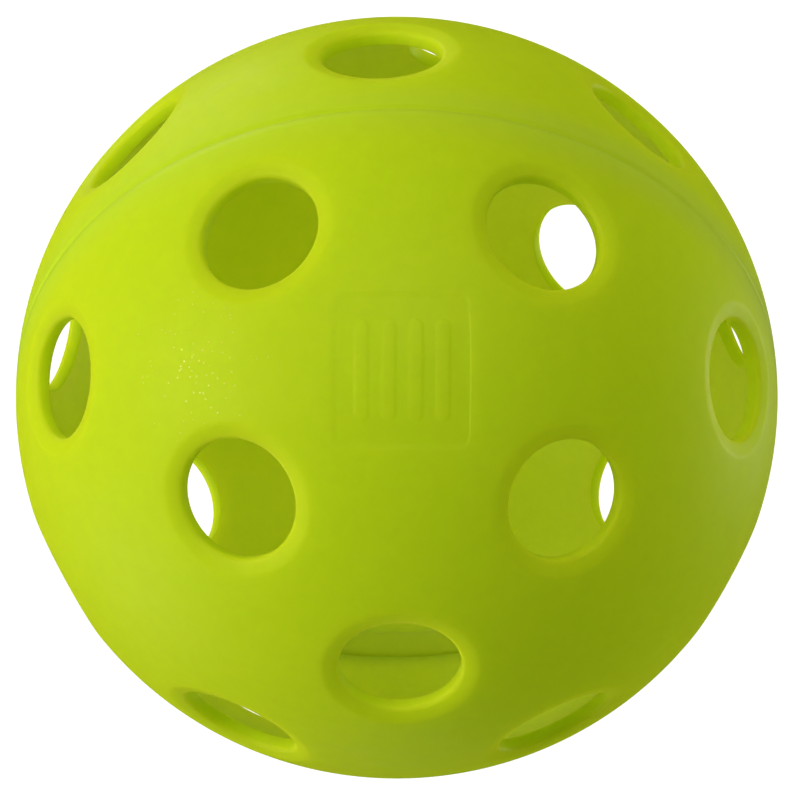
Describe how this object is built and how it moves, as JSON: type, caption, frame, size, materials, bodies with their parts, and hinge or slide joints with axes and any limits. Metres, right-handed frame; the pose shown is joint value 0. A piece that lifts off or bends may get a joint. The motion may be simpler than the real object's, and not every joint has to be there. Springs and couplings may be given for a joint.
{
  "type": "pickleball ball",
  "caption": "Hollow indoor pickleball: a round lime-green plastic shell with a regular pattern of round, flared holes, made of two moulded half shells welded at the equator.",
  "frame": {"origin": "centre of the ball, on the weld seam's plane", "axes": "+Z through the pole hole of the upper half shell, at right angles to the weld seam; +X along the axis about which half a turn swaps the two equal halves"},
  "size_m": [0.074, 0.074, 0.0722],
  "materials": {
    "shell_plastic": "satin, smooth moulded polyethylene, lime green, slightly translucent",
    "weld_plastic": "the same plastic, melted and cooled in the weld"
  },
  "bodies": {
    "root": {"upper_half_shell": "shell_plastic", "lower_half_shell": "shell_plastic", "seam_weld_bead": "weld_plastic"}
  },
  "joints": []
}
